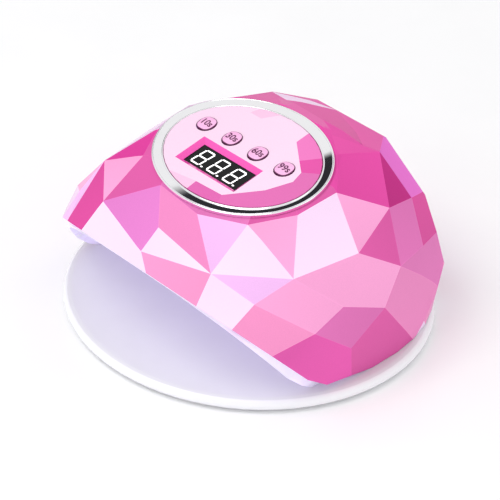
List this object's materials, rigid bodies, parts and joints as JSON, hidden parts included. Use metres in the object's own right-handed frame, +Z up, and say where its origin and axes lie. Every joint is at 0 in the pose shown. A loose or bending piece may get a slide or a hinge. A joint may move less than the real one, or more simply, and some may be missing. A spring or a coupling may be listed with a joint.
{
  "type": "uv led nail lamp",
  "caption": "Dome-shaped UV LED nail lamp with an arched hand opening, oval base plate, chrome-ringed timer buttons and a digital display.",
  "frame": {"origin": "centre of the footprint, on the table", "axes": "+Z up, -Y toward the user and the hand opening, +X to the user's right"},
  "size_m": [0.22, 0.202, 0.1071],
  "materials": {
    "shell_pink": "glossy printed facets",
    "base_white": "satin",
    "liner_white": "satin reflector",
    "foot_rubber": "matte",
    "magnet_steel": "nickel plated",
    "led_board": "white solder mask",
    "black_plastic": "fine grain",
    "board_green": "solder mask",
    "capacitor_sleeve": "shrink sleeve",
    "copper_winding": "enamelled copper",
    "heat_sink_metal": "extruded",
    "screw_steel": "zinc plated",
    "ring_chrome": "polished plating",
    "panel_pink": "glossy print",
    "window_black": "polished",
    "button_pink": "glossy with dark labels",
    "plunger_white": "plain",
    "wire_sleeve": "matte"
  },
  "bodies": {
    "base": {"base_plate": "base_white", "foot_1": "foot_rubber", "foot_2": "foot_rubber", "foot_3": "foot_rubber", "foot_4": "foot_rubber", "base_magnet_1": "magnet_steel", "base_magnet_2": "magnet_steel", "base_magnet_3": "magnet_steel", "base_magnet_4": "magnet_steel"},
    "lamp": {"outer_shell": "shell_pink", "inner_liner": "liner_white", "lamp_magnet_1": "magnet_steel", "lamp_magnet_2": "magnet_steel", "lamp_magnet_3": "magnet_steel", "lamp_magnet_4": "magnet_steel", "led_board_wall_1": "led_board", "led_board_wall_2": "led_board", "led_board_wall_3": "led_board", "led_board_wall_4": "led_board", "led_board_wall_5": "led_board", "led_board_wall_6": "led_board", "led_board_wall_7": "led_board", "led_board_roof": "led_board", "hand_sensor": "black_plastic", "dc_inlet": "black_plastic", "display_module": "black_plastic", "switch_10s": "black_plastic", "switch_30s": "black_plastic", "switch_60s": "black_plastic", "switch_99s": "black_plastic", "power_board": "board_green", "control_board": "board_green", "capacitor": "capacitor_sleeve", "inductor": "copper_winding", "heat_sink": "heat_sink_metal", "power_screw_1": "screw_steel", "power_screw_2": "screw_steel", "shell_screw_1": "screw_steel", "shell_screw_2": "screw_steel", "shell_screw_3": "screw_steel", "shell_screw_4": "screw_steel", "board_screw_1": "screw_steel", "board_screw_2": "screw_steel", "board_screw_3": "screw_steel", "board_screw_4": "screw_steel", "bezel_ring": "ring_chrome", "control_panel": "panel_pink", "display_window": "window_black", "loom_inlet": "wire_sleeve", "loom_panel": "wire_sleeve", "loom_leds": "wire_sleeve"},
    "key_10s": {"button_10s": "button_pink", "plunger_10s": "plunger_white"},
    "key_30s": {"button_30s": "button_pink", "plunger_30s": "plunger_white"},
    "key_60s": {"button_60s": "button_pink", "plunger_60s": "plunger_white"},
    "key_99s": {"button_99s": "button_pink", "plunger_99s": "plunger_white"}
  },
  "joints": [
    {"name": "lamp_lift", "type": "slide", "parent": "base", "child": "lamp", "axis": [0, 0, 1], "range_m": [0, 0.06]},
    {"name": "press_10s", "type": "slide", "parent": "lamp", "child": "key_10s", "axis": [0, 0.2079, -0.9781], "range_m": [0, 0.0006], "stiffness_N_per_m": 800},
    {"name": "press_30s", "type": "slide", "parent": "lamp", "child": "key_30s", "axis": [0, 0.2079, -0.9781], "range_m": [0, 0.0006], "stiffness_N_per_m": 800},
    {"name": "press_60s", "type": "slide", "parent": "lamp", "child": "key_60s", "axis": [0, 0.2079, -0.9781], "range_m": [0, 0.0006], "stiffness_N_per_m": 800},
    {"name": "press_99s", "type": "slide", "parent": "lamp", "child": "key_99s", "axis": [0, 0.2079, -0.9781], "range_m": [0, 0.0006], "stiffness_N_per_m": 800}
  ]
}
